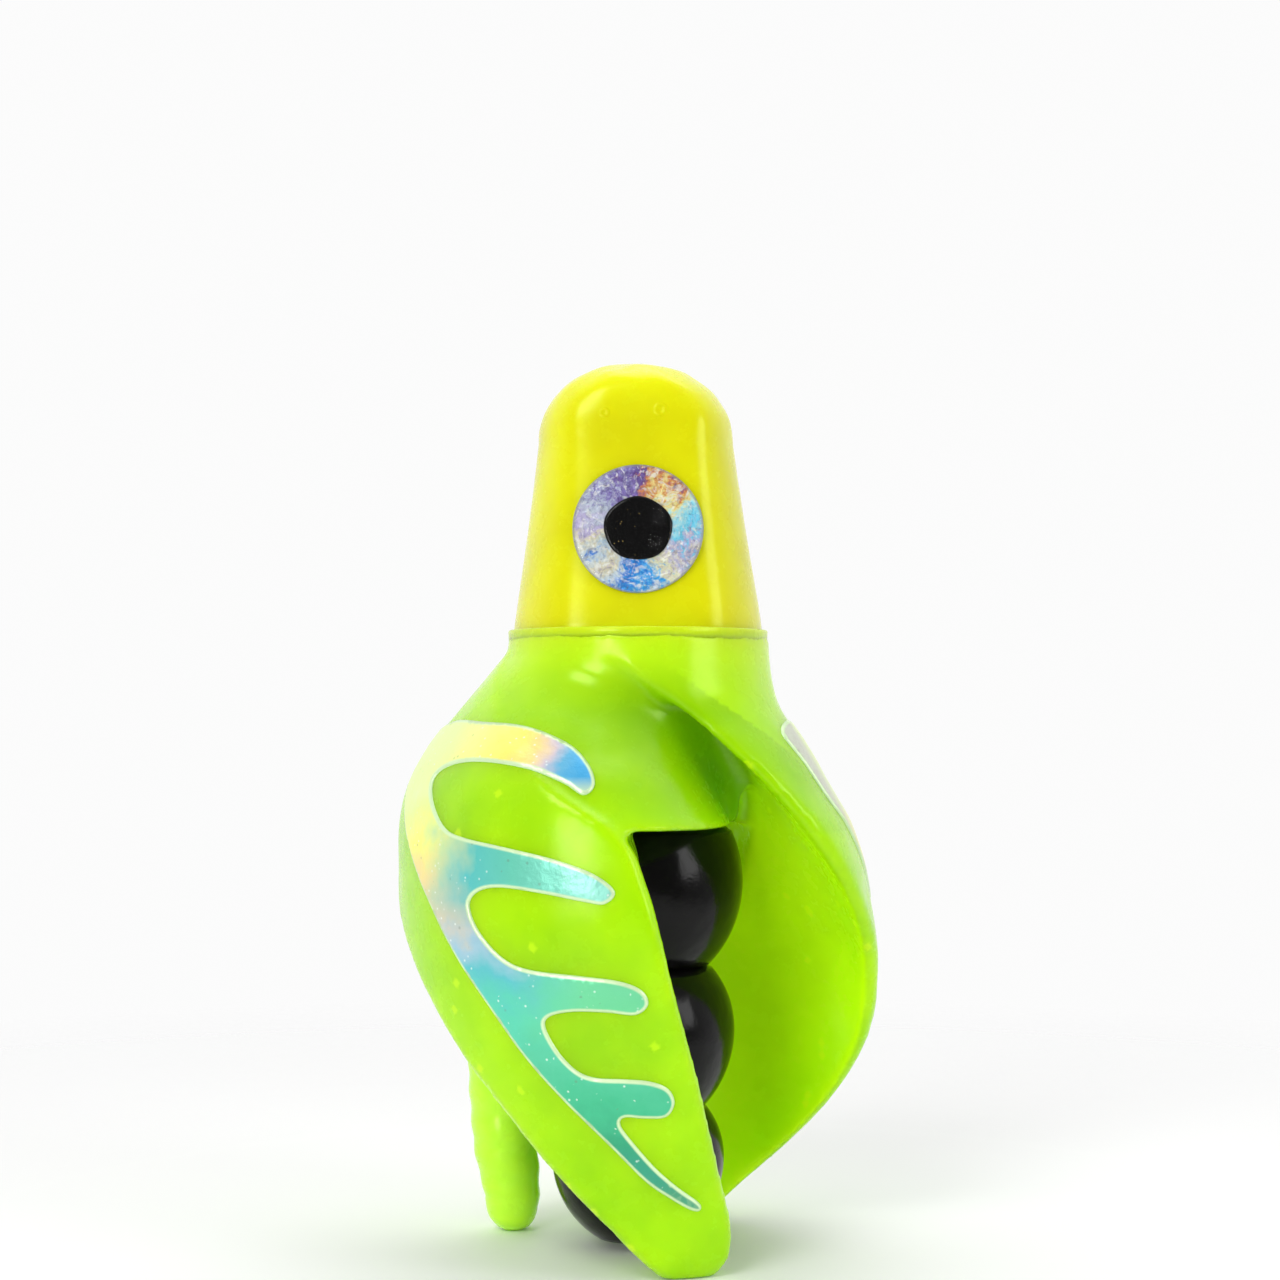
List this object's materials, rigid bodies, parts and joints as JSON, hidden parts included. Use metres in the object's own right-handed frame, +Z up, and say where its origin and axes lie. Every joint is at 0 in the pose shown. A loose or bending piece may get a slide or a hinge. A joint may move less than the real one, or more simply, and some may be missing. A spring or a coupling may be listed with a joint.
{
  "type": "desk spinner",
  "caption": "Small winged bird desk spinner: bullet head with foil eyes and a ribbed core turn on bearings inside a twisted two-winged stand.",
  "frame": {"origin": "on the desk, at the middle of the bounding box's underside, on the spindle's axis", "axes": "+Z up along the spindle, -Y towards the front eye, +X to the viewer's right"},
  "size_m": [0.0452, 0.0453, 0.0833],
  "materials": {
    "lime_plastic": "glossy translucent cast plastic",
    "lime_leg": "glossy translucent cast plastic, slightly rippled",
    "yellow_plastic": "glossy translucent cast plastic",
    "holo_foil": "rainbow diffraction foil with a pale edge",
    "eye_foil": "crinkled rainbow foil",
    "pupil_black": "glossy black",
    "clear_resin": "clear domed resin",
    "core_black": "glossy black",
    "turned_steel": "turned",
    "spindle_steel": "ground",
    "spring_steel": "dark oiled",
    "race_steel": "ground",
    "shield_steel": "pressed",
    "ball_chrome": "polished",
    "insert_brass": "knurled"
  },
  "bodies": {
    "winged_stand": {"winged_body": "lime_plastic", "rear_leg": "lime_leg", "near_wing_decal": "holo_foil", "far_wing_decal": "holo_foil", "bearing_sleeve": "turned_steel", "retaining_ring": "spring_steel", "upper_outer_race": "race_steel", "lower_outer_race": "race_steel", "upper_bearing_shields": "shield_steel", "lower_bearing_shields": "shield_steel"},
    "spinner": {"head": "yellow_plastic", "head_insert": "insert_brass", "spindle": "spindle_steel", "bearing_spacer": "turned_steel", "upper_spacer_washer": "turned_steel", "lower_thrust_washer": "turned_steel", "end_nut": "spring_steel", "core_bead_1": "core_black", "core_bead_2": "core_black", "core_bead_3": "core_black", "front_eye_foil": "eye_foil", "front_eye_pupil": "pupil_black", "front_eye_dome": "clear_resin", "rear_eye_foil": "eye_foil", "rear_eye_pupil": "pupil_black", "rear_eye_dome": "clear_resin", "lower_inner_race": "race_steel", "upper_inner_race": "race_steel"},
    "upper_balls": {"upper_bearing_balls": "ball_chrome"},
    "lower_balls": {"lower_bearing_balls": "ball_chrome"}
  },
  "joints": [
    {"name": "head_spin", "type": "hinge", "parent": "winged_stand", "child": "spinner", "pos_m": [0, 0, 0.048], "axis": [0, 0, 1], "continuous": true},
    {"name": "upper_ball_orbit", "type": "hinge", "parent": "winged_stand", "child": "upper_balls", "pos_m": [0, 0, 0.053], "axis": [0, 0, 1], "continuous": true},
    {"name": "lower_ball_orbit", "type": "hinge", "parent": "winged_stand", "child": "lower_balls", "pos_m": [0, 0, 0.0425], "axis": [0, 0, 1], "continuous": true}
  ],
  "couplings": [
    {"joint": "upper_ball_orbit", "follows": "head_spin", "ratio": 0.3778},
    {"joint": "lower_ball_orbit", "follows": "head_spin", "ratio": 0.3778}
  ]
}
